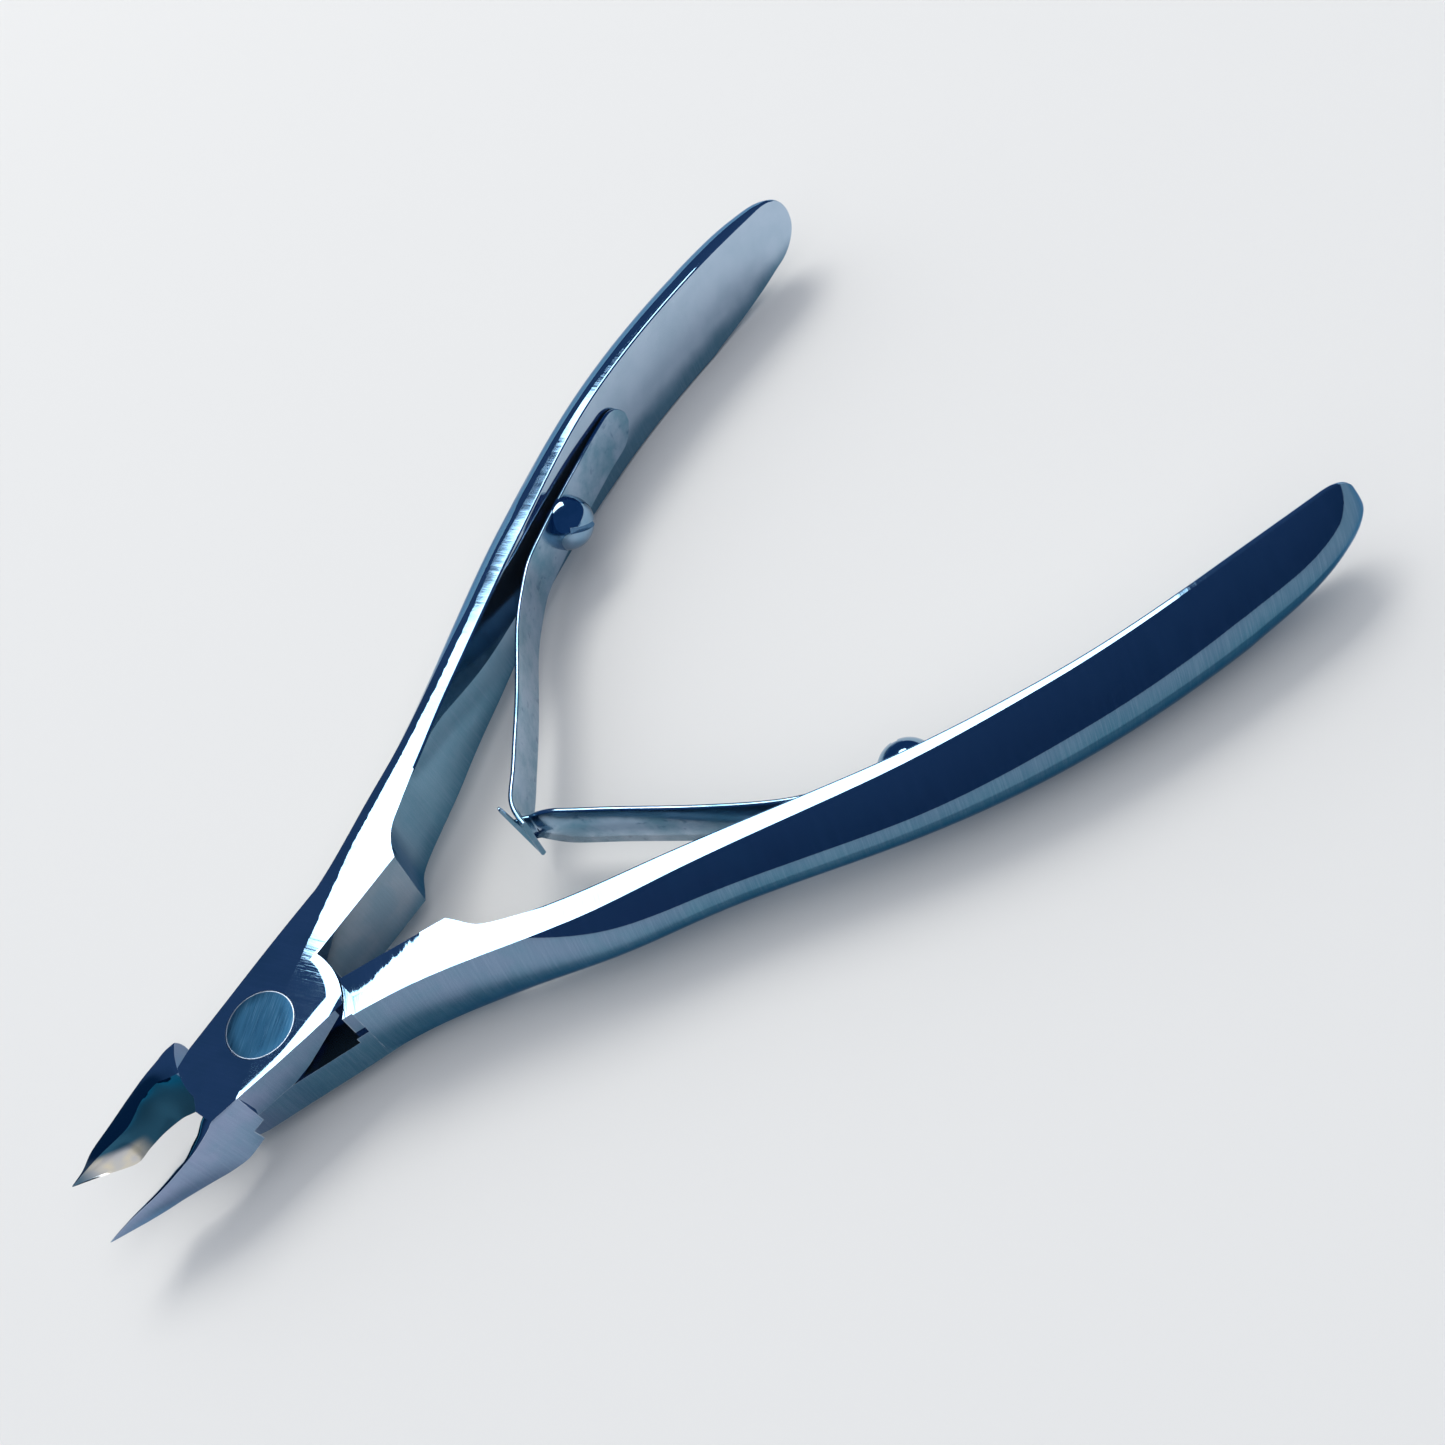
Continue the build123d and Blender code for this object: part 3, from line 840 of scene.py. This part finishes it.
def coated_steel(name, angle, roll_off):
    """Glossy blue-coated steel, brushed across a handle that points this way in plan."""
    n = Nodes(name)
    where = n.coords()
    x, y, z = millimetres(n, where)
    normal = n.add("ShaderNodeTexCoord").outputs["Normal"]
    inward = n.math("MULTIPLY", n.dot(normal, (0, -1, 0)), n.math("SIGN", y))
    facing_up = n.ramp(n.math("ABSOLUTE", n.dot(normal, (0, 0, 1))), 0.55, 0.95)
    streaks = n.noise(n.mapped(where, angle, (7000, 260, 260)), 1.0, 3.0, 0.6)
    broad = n.noise(n.mapped(where, angle, (1400, 90, 90)), 1.0, 2.0, 0.5)
    blotches = n.noise(where, 260.0, 3.0, 0.6)
    clouds = n.noise(where, 120.0, 3.0, 0.6)
    # faces that look up get the coating's blue; the others get painted reflection and, towards the foot,
    # painted shade
    colour = n.mix(facing_up, painted_side_reflection(n, x, z, inward, clouds), TOP_BLUE)
    blotch_share = n.math("MULTIPLY_ADD", n.ramp(x, 30.0, 46.0), -0.28, 0.45)
    colour = n.mix(n.ramp(blotches, 0.35, 0.7, 0.0, blotch_share), colour, BLOTCH)
    colour = n.mix(n.ramp(streaks, 0.35, 0.8, 0.0, 0.16), colour, STREAK)
    colour = n.mix(edge_wear(n, where), colour, WORN)
    hollow, honed = jaw_masks(n, x, y, z, inward)
    # painted shade: the jaws' hollow inner faces darkened
    colour = n.mix(hollow, colour, HOLLOW_SHADE_BLUE)
    colour = n.mix(honed, colour, n.mix(n.ramp(blotches, 0.4, 0.6), CREAM, PINK))
    n.put(n.shader.inputs["Base Color"], colour)
    n.shader.inputs["Metallic"].default_value = 0.96
    n.shader.inputs["Specular Tint"].default_value = COAT_TINT
    n.put(n.shader.inputs["Roughness"], n.ramp(n.math("ADD", blotches, streaks), 0.6, 1.4, 0.02, 0.06))
    texture = n.math("ADD", n.math("MULTIPLY", streaks, 0.0010), n.math("MULTIPLY", broad, 0.0032))
    top_only = n.math("GREATER_THAN", z, 2 * HALF - 0.02)
    drop = n.math("MULTIPLY", roll_off(n, x, y, broad), top_only)
    n.put(n.shader.inputs["Normal"], n.bump(n.math("SUBTRACT", texture, drop), MM))
    return n.material


def rivet_steel():
    """Dark brushed blue with a worn ring just inside the rim."""
    n = Nodes("rivet_steel")
    where = n.coords()
    streaks = n.noise(n.mapped(where, RIVET_BRUSHING, (5200, 240, 240)), 1.0, 3.0, 0.65)
    fine = n.noise(n.mapped(where, RIVET_BRUSHING, (15000, 500, 500)), 1.0, 2.0, 0.5)
    colour = n.mix(n.ramp(streaks, 0.35, 0.7), *RIVET_COLOURS)
    colour = n.mix(n.ramp(fine, 0.55, 0.8, 0.0, 0.3), colour, RIVET_SCRATCH)
    x, y, _ = millimetres(n, where)
    radius = n.math("SQRT", n.math("ADD", n.math("MULTIPLY", x, x), n.math("MULTIPLY", y, y)))
    colour = n.mix(n.ramp(radius, 2.80, 2.87, 0.0, 0.8), colour, WORN)
    n.put(n.shader.inputs["Base Color"], colour)
    n.shader.inputs["Metallic"].default_value = 1.0
    n.put(n.shader.inputs["Roughness"], n.ramp(streaks, 0.3, 0.8, 0.27, 0.35))
    n.put(n.shader.inputs["Normal"], n.bump(n.math("ADD", streaks, fine), RIVET_GRAIN))
    return n.material


def spring_steel():
    """Satin blue sheet with darker heat marks."""
    n = Nodes("spring_steel")
    where = n.coords()
    clouds = n.noise(where, 330.0, 4.0, 0.62)
    grain = n.noise(n.mapped(where, 0, (500, 500, 5200)), 1.0, 2.0, 0.5)
    marks = n.ramp(n.noise(where, 1100.0, 2.0), 0.6, 0.75, 0.0, 0.6)
    colour = n.mix(marks, n.mix(n.ramp(clouds, 0.32, 0.7), *SPRING_COLOURS), SPRING_MARK)
    n.put(n.shader.inputs["Base Color"], colour)
    n.shader.inputs["Metallic"].default_value = 1.0
    n.put(n.shader.inputs["Roughness"], n.ramp(clouds, 0.3, 0.7, 0.14, 0.26))
    texture = n.math("ADD", clouds, n.math("MULTIPLY", grain, 0.2))
    n.put(n.shader.inputs["Normal"], n.bump(texture, SPRING_GRAIN))
    return n.material


def screw_steel():
    """Polished blue with a fine grain."""
    n = Nodes("screw_steel")
    where = n.coords()
    grain = n.noise(where, 1500.0, 3.0, 0.6)
    clouds = n.noise(where, 420.0, 3.0, 0.6)
    n.put(n.shader.inputs["Base Color"], n.mix(n.ramp(clouds, 0.3, 0.7, 0.0, 0.7), *SCREW_COLOURS))
    n.shader.inputs["Metallic"].default_value = 1.0
    n.put(n.shader.inputs["Roughness"], n.ramp(grain, 0.3, 0.7, 0.05, 0.11))
    n.put(n.shader.inputs["Normal"], n.bump(grain, SCREW_GRAIN))
    return n.material


# ---------------------------------------------------------------- the pieces
def finish_piece(obj, material, node, angle):
    """Shade a placed piece, smooth up to this angle, and put it in its CAD node's place."""
    shade(obj, angle)
    obj.data.materials.clear()
    obj.data.materials.append(material)
    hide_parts(node)


def sheet_piece(obj, node):
    """A leaf spring: put in place in metres, shaded, and with its placing baked into its mesh."""
    obj.data.transform(Matrix.Scale(MM, 4) @ Matrix.Translation((0, 0, HALF)))
    finish_piece(obj, spring_metal, node, 50)
    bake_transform(obj)


steel_a = coated_steel("coated_steel_a", HALF_BRUSHING, plate_roll_off)
steel_b = coated_steel("coated_steel_b", -HALF_BRUSHING, crotch_roll_off)
spring_metal = spring_steel()
screw_metal = screw_steel()

upper = place(upper_half(), "upper_half")
finish_piece(upper, steel_a, "half_upper_plate", 10)
lower = place(lower_half(), "lower_half", flip=True)
finish_piece(lower, steel_b, "half_lower_plate", 10)
joint_rivet = place(rivet(), "lower_half")
finish_piece(joint_rivet, rivet_steel(), "joint_rivet", 32)
sheet_piece(slotted_leaf(), "leaf_spring_slotted")
sheet_piece(tongue_leaf(), "leaf_spring_tongue")
upper_screw = place(spring_screw("screw_upper", UPPER_SLOT_TURN), "upper_half")
finish_piece(upper_screw, screw_metal, "spring_screw_upper", 35)
lower_screw = place(mirrored(spring_screw("screw_lower", LOWER_SLOT_TURN)), "lower_half")
finish_piece(lower_screw, screw_metal, "spring_screw_lower", 35)

# ---------------------------------------------------------------- camera
CAMERA_LENS = 44.582             # on a sensor 36 mm wide
CAMERA_PLACE = (9.0373, -91.6319, 119.9968)
CAMERA_RIGHT = (0.71100513, -0.65103175, -0.26576184)
CAMERA_UP = (0.66413, 0.49751, 0.55805)

cam_data = bpy.data.cameras.new("camera")
cam_data.lens = CAMERA_LENS
cam_data.sensor_width = 36
cam_data.clip_start = MM
cam = new_object("camera", cam_data)
right = Vector(CAMERA_RIGHT)
back = right.cross(Vector(CAMERA_UP)).normalized()
up = back.cross(right).normalized()
aim = Matrix((right, up, back)).transposed().to_4x4()
cam.matrix_world = Matrix.Translation(Vector(CAMERA_PLACE) * MM) @ aim
bpy.context.scene.camera = cam

# ---------------------------------------------------------------- floor and light
FLOOR_REACH = 4.0                # metres each way
FLOOR_COLOUR = (0.742, 0.727, 0.686, 1)
GLOW = 6.2
CARD_HEIGHT = 1.2                # metres
# outline of the soft overhead card, in mm; the steel's flat tops mirror this outline
SOFTBOX = [
    (-20, 1006), (77, 1062), (205, 1150), (386, 1245), (475, 1285), (700, 1270), (1000, 1100),
    (690, 540), (-340, 520), (-310, 800), (-12, 930),
]
FILL_STRENGTH = 2.5
FILL_SPREAD = 130                # degrees
FILL_DIRECTION = (0.25, -0.25, -1)
SURROUNDINGS = (0.022, 0.068, 0.17, 1)


def flat_mesh(name, corners, height, material):
    """Level surface with these corners, which stages the object."""
    mesh = bpy.data.meshes.new(name)
    mesh.from_pydata([(x, y, height) for x, y in corners], [], [tuple(range(len(corners)))])
    mesh.materials.append(material)
    obj = new_object(name, mesh)
    return obj


floor_paint = Nodes("floor_paint")
floor_paint.shader.inputs["Base Color"].default_value = FLOOR_COLOUR
floor_paint.shader.inputs["Roughness"].default_value = 0.95
floor_paint.shader.inputs["Specular IOR Level"].default_value = 0.0
floor_corners = [(x * FLOOR_REACH, y * FLOOR_REACH) for x, y in ((-1, -1), (1, -1), (1, 1), (-1, 1))]
flat_mesh("floor", floor_corners, cad_bounds[0][2], floor_paint.material)

glow = Nodes("softbox_glow")
glow.shader.inputs["Base Color"].default_value = (0, 0, 0, 1)
glow.shader.inputs["Emission Color"].default_value = (1, 1, 1, 1)
glow.shader.inputs["Emission Strength"].default_value = GLOW
card = flat_mesh("softbox", [(x * MM, y * MM) for x, y in SOFTBOX], CARD_HEIGHT, glow.material)
card.visible_camera = False

fill = bpy.data.lights.new("fill", "SUN")
fill.energy = FILL_STRENGTH
fill.angle = radians(FILL_SPREAD)
fill_obj = new_object("fill", fill)
fill_obj.rotation_euler = Vector(FILL_DIRECTION).to_track_quat("-Z", "Y").to_euler()
fill_obj.visible_glossy = False

world = bpy.data.worlds.new("world")
world.use_nodes = True
background = world.node_tree.nodes["Background"]
background.inputs["Color"].default_value = SURROUNDINGS
background.inputs["Strength"].default_value = 1.0
bpy.context.scene.world = world

bpy.context.scene.view_settings.view_transform = "Standard"
